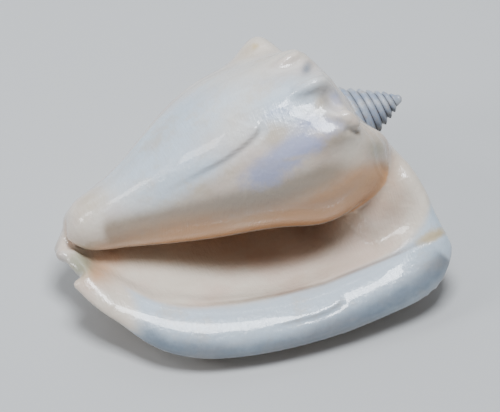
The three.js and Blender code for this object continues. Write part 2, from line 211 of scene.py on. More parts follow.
# Low relief along such lines: mm out, line, half width in mm, and the shares of its length over
# which it begins and ends.
BODY_RELIEF = [
    (0.55, CREST, 0.9),
    (-1.2, KNOB_VALLEY, 2.4),
    (-1.4, KNOB_UNDERSIDE, 1.4),
    (0.3, FRONT_FOLD, 1.7, 0.5, 0.02),
    (0.3, MIDDLE_FOLD, 1.9, 0.5, 0.02),
    (0.2, UPPER_FOLD, 2, 0.5, 0.05),
]
LIP_RELIEF = [
    (-0.4, GROOVE, 0.8, 0.05, 0.1),
    (0.9, LIP_SWELL, 3.6),
    (-0.5, LIP_HOLLOW, 1.7),
    (0.25, LIP_FOLD, 0.7),
]
SUTURE_RELIEF = [(-0.7, SUTURE, 0.8, 0.05, 0.05)]

# Spiral cords on the ramp: height in mm, and share of the way down from one to the next.
BAND_HEIGHT = 0.4
BAND_SPACING = 0.031

# Soft spots of colour: colour, part of the surface, strength, place in the picture, half sizes
# in pixels, degrees they are turned.
COLOUR_SPOTS = [
    # The cool spots on the upper body are partly the shell's bluish white, partly painted cool light on
    # faces turned up toward the light.
    ("cool", "body", 1, 165, 140, 90, 34, -40),
    ("cool", "body", 0.8, 290, 105, 50, 34, -20),
    ("cool", "body", 0.7, 190, 180, 60, 20, -30),
    ("slate", "knobs", 0.7, 306, 70, 6, 9, 20),
    ("slate", "knobs", 0.4, 334, 95, 7, 12, -35),
    # The grey spots are painted shade on the tooth and on faces below the knobs and the callus.
    ("grey", "outer", 0.5, 60, 247, 7, 15),
    ("grey", "body", 0.6, 322, 101, 9, 12),
    ("grey", "body", 0.7, 334, 140, 34, 12, -20),
    ("grey", "body", 0.6, 376, 169, 10, 7, -40),
    ("peach", "low_body", 0.7, 345, 192, 46, 20, -26),
    ("peach", "inner", 0.25, 395, 195, 26, 40, 20),
    ("peach", "lip", 0.6, 100, 268, 24, 20),
    ("lavender", "body", 1, 300, 146, 34, 14, -18),
    ("lavender", "body", 1, 267, 174, 32, 15, -22),
    ("lavender", "body", 0.8, 318, 124, 26, 9, 5),
    ("lavender", "body", 0.6, 336, 102, 9, 14, -35),
    ("lavender", "body", 0.6, 275, 112, 22, 12, -15),
    ("sand", "body", 0.6, 275, 134, 14, 18, 20),
    ("sand", "body", 0.6, 255, 95, 34, 16, -25),
    ("sand", "body", 0.8, 95, 200, 30, 20, -50),
    ("sand", "body", 0.6, 300, 158, 26, 3.5, -12),
    ("sand", "body", 0.7, 318, 106, 7, 12),
    ("sand", "body", 0.6, 200, 190, 70, 12, -28),
    ("sand", "outer", 0.9, 256, 56, 20, 16),
    ("green", "corner", 0.6, 374, 150, 12, 12),
    # Green in the canal: partly the shell's colour, partly painted light that shows through the thin
    # wall there.
    ("green", "canal", 1, 82, 263, 13, 15, -30),
    ("gold", "lip", 0.9, 434, 235, 26, 7, -22),
    ("gold", "outer", 1, 256, 47, 6, 5),
    ("gold", "outer", 1, 268, 56, 3, 8, -20),
]

# The same along lines: colour, part of the surface, strength, line, half width in mm, and the
# shares of its length over which it begins and ends.
COLOUR_LINES = [
    # Painted shade: slate along the rim's underside.
    ("slate", "rim", 0.85, RIM_UNDERSIDE, 6, 0.02, 0.02),
    # Painted shade: a grey band above the body's lower edge.
    ("grey", "body", 1, ABOVE_EDGE, 6, 0.05),
    # Painted shade: a dark tone in the lip's groove and lamella step, under the front knob, along the
    # hook and in the suture.
    ("crease", "lip", 0.55, GROOVE, 0.8, 0.2, 0.3),
    ("crease", "lip", 0.4, LAMELLA, 0.8, 0.1, 0.4),
    ("crease", "body", 0.6, KNOB_SHADOW, 0.9, 0.4, 0.1),
    ("crease", "body", 0.35, HOOK, 0.8, 0.02, 0.6),
    ("crease", "front", 0.6, SUTURE, 0.7),
]
TOP_KNOB = (256, 52, 20, 16)
MARKS = (
    "cool", "slate", "grey", "peach", "lavender", "sand", "green", "gold", "brown", "crease", "hidden",
)

# Softboxes: direction in the picture's right, up and toward-camera, distance, width and height
# in metres, watts, colour.
WHITE = (1, 1, 1)
SOFTBOXES = {
    "window": ((0.05, 0.62, 0.78), 1.1, 0.36, 0.42, 15.5, (0.9, 0.95, 1.0)),
    "sky": ((-0.25, 0.95, 0.2), 1.3, 1.1, 0.8, 5.5, (0.8, 0.9, 1.0)),
    "side_window": ((-0.84, 0.2, 0.5), 1.2, 0.22, 0.22, 3.2, WHITE),
    "side_pane": ((-0.64, 0.46, 0.62), 1.2, 0.2, 0.24, 1.6, WHITE),
}
AMBIENT_COLOUR = (0.86, 0.9, 0.96, 1)
AMBIENT_STRENGTH = 0.16
FLOOR_COLOUR = (0.55, 0.55, 0.55, 1)
FLOOR_ROUGHNESS = 0.9
FLOOR_HALF = 3.0


def step(start, end, x):
    """Rises smoothly from 0 to 1 while x goes from start to end."""
    t = np.clip((np.asarray(x, float) - start) / (end - start), 0, 1)
    return t * t * (3 - 2 * t)


def mix(a, b, t):
    return a + (b - a) * t


def bump(x, centre, width):
    """1 at the centre, fading out softly over the width on both sides."""
    return np.exp(-(((x - centre) / width) ** 2))


def max_of(values):
    return np.max(list(values), axis=0)


def spline(rows, at):
    """Natural cubic spline through rows of (place, value, ...), held level past its ends."""
    rows = np.asarray(rows, float)
    x, y = rows[:, 0], rows[:, 1:]
    count, gap = len(x), np.diff(x)
    left, right = np.eye(count), np.zeros((count, y.shape[1]))
    for i in range(1, count - 1):
        left[i, i - 1 : i + 2] = gap[i - 1], 2 * (gap[i - 1] + gap[i]), gap[i]
        right[i] = 6 * ((y[i + 1] - y[i]) / gap[i] - (y[i] - y[i - 1]) / gap[i - 1])
    bend = np.linalg.solve(left, right)
    shape = np.shape(at)
    t = np.clip(np.ravel(at), x[0], x[-1])
    i = np.clip(np.searchsorted(x, t) - 1, 0, count - 2)
    b = ((t - x[i]) / gap[i])[:, None]
    a = 1 - b
    curve = ((a**3 - a) * bend[i] + (b**3 - b) * bend[i + 1]) * (gap[i] ** 2)[:, None] / 6
    out = a * y[i] + b * y[i + 1] + curve
    return out.reshape(*shape, -1) if y.shape[1] > 1 else out.reshape(shape)


def unit(v):
    return v / (np.linalg.norm(v, axis=-1, keepdims=True) + 1e-12)


def place(azimuth, radius, depth):
    """Points of the standing shell, from degrees round the axis and mm out and down."""
    angle = np.radians(azimuth)
    return np.stack(np.broadcast_arrays(radius * np.cos(angle), radius * np.sin(angle), -depth), -1)


def camera_axes():
    """The picture's right, up and toward-camera, in the standing shell."""
    tilt = math.radians(CAMERA_TILT)
    roll = math.radians(CAMERA_ROLL)
    c, s = math.cos(roll), math.sin(roll)
    level = Vector((1, 0, 0))
    upright = Vector((0, -math.sin(tilt), math.cos(tilt)))
    back = Vector((0, -math.cos(tilt), -math.sin(tilt)))
    return level * c - upright * s, level * s + upright * c, back


def lay_down_turn():
    """The turn that brings REST_UP upright and the shell's axis to the scene's X."""
    forward = (Vector((0, 0, 1)) - REST_UP * REST_UP.z).normalized()
    return Matrix([forward, REST_UP.cross(forward), REST_UP])


def from_camera(right, up, back):
    """A direction given in the picture's own right, up and toward-camera, in the scene's frame."""
    r, u, b = camera_axes()
    return (lay_down_turn() @ (r * right + u * up + b * back)).normalized()


def from_picture(places):
    """Points whose place in the photograph and mm toward the camera are known."""
    right, up, back = (np.array(axis) for axis in camera_axes())
    x = (places[:, :1] - TIP_IN_PICTURE[0]) / PIXELS_PER_MM
    y = (TIP_IN_PICTURE[1] - places[:, 1:2]) / PIXELS_PER_MM
    return x * right + y * up + places[:, 2:3] * back


def in_picture(points):
    """Where points stand in the photograph, in its pixels."""
    right, up, _ = (np.array(axis) for axis in camera_axes())
    x = TIP_IN_PICTURE[0] + PIXELS_PER_MM * points @ right
    y = TIP_IN_PICTURE[1] - PIXELS_PER_MM * points @ up
    return np.stack([x, y], -1)


def whorl_outline(turns, ways, end_radius, end_depth):
    """Radius and depth for every turn (rows) and way down (columns).

    Each outline starts inside the seam and goes over the ramp and the shoulder down the belly.
    """
    seam_r, seam_d, r, d, right, swell = np.moveaxis(spline(WHORL, turns), -1, 0)
    one = np.ones_like(r)
    points = [
        (seam_r * 0.56, seam_d - 3),
        (seam_r, seam_d),
        ((seam_r + r + swell) / 2, seam_d + (d - seam_d) * 0.4 - swell * 0.85),
        (r, d),
    ]
    wider = r - mix(SHOULDER_LEFT, SHOULDER_RIGHT, right)
    for way, on_left, on_right in zip(BELLY, BELLY_LEFT, BELLY_RIGHT):
        belly = mix(on_left, on_right, right) + wider * max(0.0, 1 - way * 1.4)
        points.append((belly, d + (TIP_DEPTH - d) * way))
    points.append((end_radius * one, end_depth * one))
    table = np.array([[p[0] * one, p[1] * one] for p in points])
    rows = np.column_stack([PROFILE_STEPS, table.reshape(len(points), -1)])
    out = spline(rows, ways).reshape(len(ways), 2, len(r))
    return np.moveaxis(out, 2, 0)


def knob_height(turns, ways, radius):
    """Each knob has a steep upper side, and below it a fold that runs down the body."""
    below = ways - KNOB_WAY
    peak = np.exp(-((below / np.where(below < 0, 0.045, 0.055)) ** 2))
    fold = np.where(below < 0, peak, 0.75 * peak + 0.25 * bump(below, 0, 0.22))
    total = 0
    for at, height, width in KNOBS:
        away = (turns - at) * TAU * np.maximum(radius, 20)
        total = total + height * fold * bump(away, 0, width)
    return total


def ways_down(count):
    """Shares of the way down, closer together where the surface bends most."""
    spaced = [(0, 0), (0.2, 0.13), (0.48, 0.28), (0.77, 0.72), (0.92, 0.94), (1, 1)]
    return spline(spaced, np.linspace(0, 1, count))


def skin(grid, **facts):
    """What the surface is at each point of a grid, one value for each name in SKIN."""
    columns = [np.broadcast_to(facts.get(name, 0.0), grid.shape[:2]) for name in SKIN]
    return np.stack(columns, -1).reshape(-1, len(SKIN))


def by_name(facts):
    return {name: facts[:, i] for i, name in enumerate(SKIN)}


def body_grid(around, down):
    """The front and left side that shows, and the column inside the opening."""
    ways = ways_down(down)
    azimuth = np.linspace(*BODY_AZIMUTHS, around, endpoint=False)
    turns = (azimuth - LIP_AZIMUTH) / 360
    out = whorl_outline(np.minimum(turns, LAST_TURN), ways, 0, TIP_DEPTH)
    back = whorl_outline(turns - 1, ways, 0, TIP_DEPTH)
    column = spline(COLUMN, azimuth)[:, None]
    inside = step(*INTO_MOUTH, azimuth)[:, None]
    rejoin = step(*OUT_OF_MOUTH, azimuth)[:, None]
    knob = knob_height(turns[:, None], ways[None], out[..., 0])
    back_knob = knob_height(turns[:, None] - 1, ways[None], back[..., 0]) * rejoin
    draw_in = (1 - (1 - column) * step(0.02, 0.16, ways)[None]) * mix(0.93, 1, rejoin)
    sink = 2.5 * (1 - step(0.1, 0.25, ways))[None] * (1 - rejoin)
    inner_r = mix(back[..., 0] * draw_in, back[..., 0], rejoin) + back_knob
    inner_d = back[..., 1] + sink - KNOB_LEAN * back_knob
    radius = mix(out[..., 0] + knob, inner_r, inside)
    depth = mix(out[..., 1] - KNOB_LEAN * knob, inner_d, inside)
    grid = place(azimuth[:, None], np.maximum(radius, 0), depth)
    shown = np.maximum(1 - inside, rejoin)
    return grid, skin(grid, body=shown, column=1 - shown, way=ways[None], turns=turns[:, None])


def coiled_skeleton(turns, ways):
    """The middle of the coiled wall, half a wall inside its outer face."""

    def outside(t, w):
        canal = spline(CANAL_END, t)
        outline = whorl_outline(t, np.clip(w, 0, 1), canal[..., 0], canal[..., 1])
        return place((LIP_AZIMUTH + 360 * t)[:, None], outline[..., 0], outline[..., 1])

    onward = outside(turns - 0.004, ways) - outside(turns + 0.004, ways)
    downward = outside(turns, ways + 0.01) - outside(turns, ways - 0.01)
    outward = unit(np.cross(onward, downward))
    start = 0.6 * step(0.5, 0.6, turns)[:, None, None]
    return outside(turns, ways) - outward * WALL / 2 * (1 + start)


def flare(ways, outs):
    """From the coiled wall's end out to the lip's free edge, as one Bezier curve a way."""
    root = coiled_skeleton(np.array([FLARE_START]), ways)[0]
    leaving = unit(root - coiled_skeleton(np.array([FLARE_START + 0.004]), ways)[0])
    leaving[:, 2] += 0.1 * (1 - step(0, 0.15, ways))
    edge = spline(LIP_EDGE, ways) * (1, 1, -1)
    slant = np.radians(spline(LIP_SLANT, ways))
    arriving = unit(np.stack([np.cos(slant), -np.sin(slant), spline(LIP_RISE, ways)], -1))
    edge = edge + arriving * (RIM_ALLOWANCE * (1 - step(0.8, 0.95, ways)))[:, None]
    span = np.linalg.norm(edge - root, axis=-1, keepdims=True)
    near = root + leaving * span * spline(FLARE_REACH, ways)[:, None]
    far = edge - arriving * span * 0.38
    t = outs[:, None, None]
    left = 1 - t
    curve = root * left**3 + 3 * near * t * left**2 + 3 * far * t**2 * left + edge * t**3
    notched = step(0.12, 0.3, outs) * (1 - step(0.86, 0.98, outs))
    curve[..., 2] += NOTCH_DEPTH * notched[:, None] * step(0.9, 1, ways)[None] ** 1.5
    return curve


def rounded_edge(distance, reach):
    """0 at an edge and 1 beyond the reach, in a quarter circle."""
    left = 1 - np.clip(distance / reach, 0, 1)
    return np.sqrt(np.clip(1 - left * left, 0, 1))


def crease_rise(points):
    """How far the lip's inner face comes forward near its crease with the body."""
    nearest, rise = np.full(points.shape[:2], 1e9), 0
    for (x, depth, start), (next_x, next_depth, end) in zip(LIP_CREASE, LIP_CREASE[1:]):
        dx, dd = next_x - x, next_depth - depth
        gx, gd = points[..., 0] - x, -points[..., 2] - depth
        share = np.clip((gx * dx + gd * dd) / (dx * dx + dd * dd), 0, 1)
        gap = np.hypot(gx - share * dx, gd - share * dd)
        beyond = (dd * gx - dx * gd) / math.hypot(dx, dd)
        reach = mix(CREASE_REACH_IN, CREASE_REACH_OUT, step(-6, 9, beyond))
        here = mix(start, end, share) * bump(gap, 0, reach)
        rise = np.where(gap < nearest, here, rise)
        nearest = np.minimum(gap, nearest)
    return rise


def run_along(middle):
    """Distance along the wall to the rim, and down it from its top edge."""
    along = np.linalg.norm(np.diff(middle, axis=0), axis=-1)
    to_rim = np.concatenate([np.cumsum(along[::-1], axis=0)[::-1], np.zeros((1, middle.shape[1]))])
    across = np.linalg.norm(np.diff(middle, axis=1), axis=-1)
    from_top = np.concatenate([np.zeros((len(middle), 1)), np.cumsum(across, axis=1)], 1)
    return to_rim, from_top


def half_thickness(ways, out, to_rim, from_top):
    """Half the wall, thicker toward the rim and rounded off at every edge."""
    full = spline(RIM_FULLNESS, ways)[None]
    half = WALL / 2 + (RIM_THICKNESS - WALL) / 2 * full * step(36, 15, to_rim)
    half = half * rounded_edge(to_rim, RIM_NOSE * (0.4 + 0.6 * full))
    half = half * (1 - (1 - rounded_edge(from_top, 4.5)) * step(0, 0.08, out))
    return half * rounded_edge(from_top[:, -1:] - from_top, 3)


def wall_grids(coiled, flared, down):
    """Outer and inner face of the hidden coiled wall and of the lip that flares out of it."""
    ways = ways_down(down)
    coil = np.linspace(0.6, FLARE_START, coiled)
    t = np.linspace(0, 1, flared + 1)[1:]
    outs = 0.45 * t + 0.55 * np.sin(t * math.pi / 2)
    middle = np.concatenate([coiled_skeleton(coil, ways), flare(ways, outs)])
    out = np.concatenate([np.zeros(coiled), outs])[:, None]
    grown = np.concatenate([coil, FLARE_START * (1 - outs)])[:, None]
    normal = unit(np.cross(np.gradient(middle, axis=0), np.gradient(middle, axis=1)))
    to_rim, from_top = run_along(middle)
    half = half_thickness(ways, out, to_rim, from_top)[..., None]
    outer = middle + normal * half
    radius = np.hypot(outer[..., 0], outer[..., 1])
    knob = knob_height(grown, ways[None], np.minimum(radius, 40)) * (1 - step(0.25, 0.7, out))
    away = np.stack([outer[..., 0] / radius, outer[..., 1] / radius, KNOB_LEAN + 0 * radius], -1)
    outer = outer + away * knob[..., None]
    rise = crease_rise(middle) * step(0, 0.25, out) * rounded_edge(from_top, 9)
    inner = middle - normal * half - rise[..., None] * (0, 1, 0)
    known = dict(way=ways[None], turns=grown, to_rim=to_rim)
    return outer, inner, skin(outer, outer=1.0, **known), skin(inner, inner=1.0, **known)


def quads(rows, columns, wrap, start=0):
    """Faces between the points of a grid, with its last row joined to its first if it wraps."""
    index = np.arange(rows * columns).reshape(rows, columns) + start
    there = np.roll(index, -1, axis=0) if wrap else index[1:]
    here = index if wrap else index[:-1]
    return np.stack([here[:, :-1], here[:, 1:], there[:, 1:], there[:, :-1]], -1).reshape(-1, 4)


def capsule(grid):
    """Points and faces of a grid that goes all the way round, closed at both its ends."""
    rows, columns = grid.shape[:2]
    points = grid.reshape(-1, 3)
    ends = np.stack([grid[:, 0].mean(axis=0), grid[:, -1].mean(axis=0)])
    faces = quads(rows, columns, True).tolist()
    first = np.arange(rows) * columns
    last = first + columns - 1
    top, bottom = len(points), len(points) + 1
    faces += [[top, a, b] for a, b in zip(first, np.roll(first, -1))]
    faces += [[bottom, b, a] for a, b in zip(last, np.roll(last, -1))]
    return np.concatenate([points, ends]), faces


def slab(outer, inner):
    """Points and faces of a sheet with two faces, closed all along its border."""
    rows, columns = outer.shape[:2]
    size = rows * columns
    faces = quads(rows, columns, False).tolist()
    faces += quads(rows, columns, False, size)[:, ::-1].tolist()
    index = np.arange(size).reshape(rows, columns)
    border = np.concatenate([index[0, :-1], index[:-1, -1], index[-1, :0:-1], index[:0:-1, 0]])
    faces += [[a, a + size, b + size, b] for a, b in zip(border, np.roll(border, -1))]
    return np.concatenate([outer.reshape(-1, 3), inner.reshape(-1, 3)]), faces


def new_mesh(name, parts):
    """One mesh of several parts, each given as its points and faces."""
    points, faces, start = [], [], 0
    for part_points, part_faces in parts:
        points.append(part_points)
        faces += [[i + start for i in face] for face in part_faces]
        start += len(part_points)
    mesh = bpy.data.meshes.new(name)
    mesh.from_pydata(np.concatenate(points).tolist(), [], faces)
    mesh.validate()
    mesh.update()
    return mesh


def read_vectors(mesh, kind):
    out = np.empty(len(mesh.vertices) * 3)
    mesh.vertices.foreach_get(kind, out)
    return out.reshape(-1, 3)


def coordinates(mesh):
    return read_vectors(mesh, "co")


def normals(mesh):
    return read_vectors(mesh, "normal")


def set_coordinates(mesh, points):
    mesh.vertices.foreach_set("co", np.ascontiguousarray(points, float).ravel())
    mesh.update()


def averager(mesh):
    """A function that gives, for values at each vertex, the mean of its neighbours' values."""
    edges = np.empty(len(mesh.edges) * 2, int)
    mesh.edges.foreach_get("vertices", edges)
    a, b = edges.reshape(-1, 2).T
    ends, others = np.concatenate([a, b]), np.concatenate([b, a])
    size = len(mesh.vertices)
    count = np.bincount(ends, minlength=size)

    def mean(values):
        return np.stack([np.bincount(ends, column[others], size) / count for column in values.T], -1)

    return mean


def relax(mesh, points, rounds):
    """Evens the surface, shrinking it very little."""
    mean = averager(mesh)
    for _ in range(rounds):
        for share in EVENING_STEPS:
            points = points + (mean(points) - points) * share
    return points


def melt(mesh, values, rounds, weight=1.0):
    """Plain evening that also rounds off corners and fills creases, where weight says."""
    mean = averager(mesh)
    share = 0.5 * np.broadcast_to(weight, len(values))[:, None]
    for _ in range(rounds):
        values = values + (mean(values) - values) * share
    return values


def remeshed(mesh, voxel):
    """The overlapping parts of a mesh grown together into one skin."""
    holder = bpy.data.objects.new("rough", mesh)
    bpy.context.scene.collection.objects.link(holder)
    modifier = holder.modifiers.new("remesh", "REMESH")
    modifier.mode = "VOXEL"
    modifier.voxel_size = voxel
    graph = bpy.context.evaluated_depsgraph_get()
    out = bpy.data.meshes.new_from_object(holder.evaluated_get(graph))
    bpy.data.objects.remove(holder)
    return out


def growth(rows):
    """A thick drop of shell that follows its rows, rounded at both ends."""
    t = np.linspace(-GROWTH_END, 1 + GROWTH_END, GROWTH_GRID[0])
    path = spline(rows, np.clip(t, 0, 1))
    past = np.abs(t - np.clip(t, 0, 1)) / GROWTH_END
    centre = from_picture(path[:, :3])
    radius = path[:, 3] * np.sqrt(np.clip(1 - past**2, 0, 1))
    along = unit(centre[-1] - centre[0])
    centre += along * (np.sign(t - 0.5) * past * path[:, 3])[:, None]
    side = unit(np.cross(along, (0, 0, 1)))
    over = np.cross(side, along)
    angle = np.linspace(0, TAU, GROWTH_GRID[1], endpoint=False)[:, None, None]
    ring = np.cos(angle) * side + np.sin(angle) * over
    return capsule(centre[None] + ring * radius[None, :, None])


def near_growths(points, growths, reach):
    """1 at the nearest of the growths and in it, falling to 0 over the reach around it."""
    return max_of(bump(distance_to_growth(points, rows), 0, reach) for rows in growths)


def distance_to_growth(points, rows):
    """Distance in mm from each point to a growth, 0 inside it."""
    path = spline(rows, np.linspace(0, 1, GROWTH_SAMPLES))
    centres = from_picture(path[:, :3])
    gaps = [np.linalg.norm(points - c, axis=1) - r for c, r in zip(centres, path[:, 3])]
    return np.clip(np.min(gaps, axis=0), 0, None)


def spread(points, known, facts):
    """Facts of the nearest known points, blended over the three nearest."""
    tree = kdtree.KDTree(len(known))
    for i, point in enumerate(known):
        tree.insert(point, i)
    tree.balance()
    out = np.empty((len(points), facts.shape[1]))
    for i, point in enumerate(points):
        found = tree.find_n(point, 3)
        share = np.array([1 / (distance + 0.2) for _, _, distance in found])
        out[i] = share @ facts[[index for _, index, _ in found]] / share.sum()
    return out


def beside(spots, line):
    """Distance in mm to a line drawn in the picture, side of it, and share of the way along it."""
    line = np.asarray(line, float)
    run = np.concatenate([[0], np.cumsum(np.linalg.norm(np.diff(line, axis=0), axis=1))])
    best = np.full(len(spots), 1e9)
    side, share = np.zeros(len(spots)), np.zeros(len(spots))
    for i in range(len(line) - 1):
        a, b = line[i], line[i + 1]
        t = np.clip((spots - a) @ (b - a) / ((b - a) @ (b - a)), 0, 1)
        gap = spots - (a + t[:, None] * (b - a))
        distance = np.hypot(*gap.T)
        near = distance < best
        best = np.where(near, distance, best)
        cross = (b - a)[0] * gap[:, 1] - (b - a)[1] * gap[:, 0]
        side = np.where(near, np.sign(cross), side)
        share = np.where(near, (run[i] + t * (run[i + 1] - run[i])) / run[-1], share)
    return best / PIXELS_PER_MM, side, share


def tapered(share, start, end):
    """1 in the middle of a line, 0 at its ends, over the given shares of it."""
    return step(0, start, share) * (1 - step(1 - end, 1, share))


def stroke(spots, line, width, start=0.2, end=0.2):
    away, _, share = beside(spots, line)
    return bump(away, 0, width) * tapered(share, start, end)


def blob(spots, x, y, wide, high, turn=0.0):
    """Soft spot in the picture, its half sizes in pixels."""
    c, s = math.cos(math.radians(turn)), math.sin(math.radians(turn))
    u, v = spots[:, 0] - x, spots[:, 1] - y
    return np.exp(-(((u * c + v * s) / wide) ** 2) - ((v * c - u * s) / high) ** 2)


def relief(spots, lines):
    """How far all of some lines stand out, in mm."""
    return sum(height * stroke(spots, *line) for height, *line in lines)


def hook_relief(spots):
    """The bent groove on the body: a soft bank, then a sharp drop with faint ripples beyond."""
    away, side, share = beside(spots, HOOK)
    bank = np.where(side > 0, bump(away, 0, 9), bump(away, 0, 0.5))
    dip = np.where(side > 0, 0, bump(away, 1.6, 1.5))
    strength = (1 - step(0.35, 1, share)) * np.where(share > 0, 1, bump(away, 0, 1.5))
    rippled = step(1.5, 2.5, away) * (1 - step(5, 8, away)) * (1 - step(0.1, 0.35, share))
    ripple = np.where(side < 0, np.cos(away * 4.2) * rippled, 0)
    return strength * (1.1 * bank - 0.45 * dip) + 0.13 * ripple


def lamella_relief(spots):
    """A thin layer of shell that ends along a line near the rim."""
    away, side, share = beside(spots, LAMELLA)
    above = np.where(side > 0, bump(away, 0, 3), bump(away, 0, 0.45))
    below = np.where(side > 0, 0, bump(away, 1.1, 1))
    return (0.5 * above - 0.3 * below) * (1 - step(0.4, 1, share)) * step(0, 0.04, share)


def sculpt(spots, facts):
    """How far the surface stands out, in mm, for what the photograph shows on the front."""
    front = facts["facing"]
    lift = facts["body"] * front * (hook_relief(spots) + relief(spots, BODY_RELIEF))
    lift += facts["inner"] * front * (lamella_relief(spots) + relief(spots, LIP_RELIEF))
    return lift + front * relief(spots, SUTURE_RELIEF)


def ramp_bands(facts):
    """Spiral cords on the ramp between shoulder and spire."""
    way = facts["way"]
    shown = (facts["body"] + facts["outer"]) * step(0.035, 0.06, way) * (1 - step(0.12, 0.15, way))
    return BAND_HEIGHT * shown * np.sin(TAU * way / BAND_SPACING)


def parts_of_surface(spots, facts):
    """How much each vertex belongs to each part that colours are given for."""
    front, outer = facts["facing"], facts["outer"]
    body = facts["body"] * front
    inner = facts["inner"] * (1 - step(0.35, 0.5, facts["turns"]))
    by_spire = step(340, 385, spots[:, 0]) * (1 - step(150, 185, spots[:, 1]))
    near_rim = (1 - step(17, 25, facts["to_rim"])) * (1 - step(0.84, 0.93, facts["way"]))
    return {
        "front": front,
        "hidden": (facts["body"] + outer) * (1 - front),
        "body": body,
        "low_body": body * (1 - by_spire),
        "inner": inner,
        "lip": inner * front,
        "outer": outer * front,
        "rim": (inner + outer) * near_rim * front,
        "corner": (body + inner) * front,
        "canal": (inner + outer) * front,
        "knobs": (body + outer) * front,
    }


def markings(spots, facts):
    """Strength of each colour at each vertex, for what the photograph shows and all round."""
    parts = parts_of_surface(spots, facts)
    marks = {name: np.zeros(len(spots)) for name in MARKS}
    for colour, part, strength, *shape in COLOUR_SPOTS:
        marks[colour] += parts[part] * strength * blob(spots, *shape)
    for colour, part, strength, *shape in COLOUR_LINES:
        marks[colour] += parts[part] * strength * stroke(spots, *shape)
    above_edge, _, _ = beside(spots, LOWER_EDGE)
    toward_spire = 0.35 + 0.65 * step(90, 210, spots[:, 0])
    marks["peach"] += parts["low_body"] * toward_spire * bump(above_edge, 0, 9)
    marks["peach"] += parts["inner"] * 0.35 * step(34, 60, facts["to_rim"])
    marks["brown"] += parts["inner"] * 0.7 * step(45, 90, facts["to_rim"]) + 0.7 * facts["column"]
    # On the rim the cool tone is partly the shell's bluish white, partly painted cool light.
    marks["cool"] += parts["rim"] + 0.35 * parts["hidden"]
    marks["cool"] += 0.35 * parts["outer"] * (1 - blob(spots, *TOP_KNOB))
    marks["sand"] += 0.45 * parts["hidden"]
    marks["hidden"] += parts["hidden"]
    return {name: np.clip(value, 0, 1) for name, value in marks.items()}


def melting(points, facts):
    """Where the rough shell is to be rounded off: at the callus and the rim, hardly at the noses."""
    near_callus = near_growths(points, [CALLUS, PAD], 6)
    near_nose = near_growths(points, [TOOTH, *NOSES], 2.5)
    near_rim = (facts["outer"] + facts["inner"]) * (1 - step(12, 26, facts["to_rim"]))
    near_rim = near_rim * (1 - step(0.86, 0.96, facts["way"]))
    return max_of([near_callus * (1 - near_nose), near_rim, 0.05 * near_nose])


def grow_body():
    """Body, column and lip in one skin, and what is known of it at each vertex."""
    body, body_skin = body_grid(*BODY_GRID)
    outer, inner, outer_skin, inner_skin = wall_grids(*WALL_GRID)
    growths = [CALLUS, PAD, TOOTH, *NOSES]
    rough = new_mesh("rough", [capsule(body), slab(outer, inner), *map(growth, growths)])
    mesh = remeshed(rough, VOXEL)
    points = relax(mesh, coordinates(mesh), EVENING_ROUNDS)
    known = np.concatenate([grid.reshape(-1, 3) for grid in (body, outer, inner)])
    skins = np.concatenate([body_skin, outer_skin, inner_skin])
    skins = spread(points, known[::FACT_STRIDE], skins[::FACT_STRIDE])
    points = melt(mesh, points, MELTING_ROUNDS, melting(points, by_name(skins)))
    set_coordinates(mesh, points)
    facts = by_name(melt(mesh, skins, FACT_ROUNDS))
    facts["facing"] = step(0.0, 0.3, normals(mesh) @ np.array(camera_axes()[2]))
    lift = sculpt(in_picture(points), facts) + ramp_bands(facts)
    points = points + normals(mesh) * lift[:, None]
    set_coordinates(mesh, relax(mesh, points, 1))
    return mesh, facts


def seam_shade(points, within):
    """Darker in the spire's seams, and painted shade on its side toward the lip."""
    seam = np.append(1 - step(0.0, 0.16, np.minimum(within, 1 - within)), [0, 0])
    # Painted shade on the spire's side toward the lip.
    lip_side_shade = 0.4 * step(0.2, 1, points[:, 0] / (np.hypot(*points[:, :2].T) + 0.1))
    return np.clip(seam + lip_side_shade, 0, 1) * step(1, 4, -points[:, 2])


def grow_spire():
    """Narrow whorls with paired cords, a row of small nodes and deep seams."""
    depth = SPIRE_LENGTH * np.linspace(0, 1, SPIRE_STEPS)[None] ** 1.15
    azimuth = np.linspace(0, 360, SPIRE_STEPS, endpoint=False)[:, None]
    whorls = np.log1p(PITCH_GAIN * depth / FIRST_PITCH) / PITCH_GAIN
    phase = whorls + azimuth / 360 + 0.62
    within = phase % 1
    shown = step(0.5, 6, depth) * (1 - 0.6 * step(20, 24, depth))
    ridge = np.sin(math.pi * within**0.9) - 0.6
    cords = 0.14 * (bump(within, 0.3, 0.07) + bump(within, 0.52, 0.07) + 0.8 * bump(within, 0.75, 0.06))
    wavering = phase + 0.012 * np.sin(phase * 9)
    nodes = np.clip(np.sin(TAU * NODES_PER_TURN * wavering), 0, 1)
    beads = 0.42 * nodes * bump(within, 0.62, 0.24) * step(2, 6, depth)
    radius = spline(SPIRE, depth) + (1.25 * ridge + cords + beads) * shown
    points, faces = capsule(place(azimuth, radius, depth))
    return new_mesh("shell_spire", [(points, faces)]), seam_shade(points, within)


def add(name, thing_data):
    thing = bpy.data.objects.new(name, thing_data)
    bpy.context.scene.collection.objects.link(thing)
    return thing


def set_camera():
    """A long lens at the photo's viewing angle."""
    right, up, back = camera_axes()
    middle = right * PICTURE_MIDDLE[0] + up * PICTURE_MIDDLE[1] + back * PICTURE_MIDDLE[2]
    data = bpy.data.cameras.new("camera")
    data.sensor_width = 36
    data.lens = LENS_PER_DISTANCE * CAMERA_DISTANCE
    data.clip_end = 100
    camera = add("camera", data)
    turn = lay_down_turn()
    spot = (turn @ (middle + back * CAMERA_DISTANCE) + CENTRE) / 1000
    axes = Matrix([turn @ right, turn @ up, turn @ back]).transposed()
    camera.matrix_world = Matrix.Translation(spot) @ axes.to_4x4()
    bpy.context.scene.camera = camera


def lay_down(mesh):
    """From the standing shell in mm to the shell at rest on the floor in metres."""
    turn = np.array(lay_down_turn())
    points = coordinates(mesh) @ turn.T + np.array(CENTRE)
    points[:, 2] = np.maximum(points[:, 2], 0)
    set_coordinates(mesh, points / 1000)


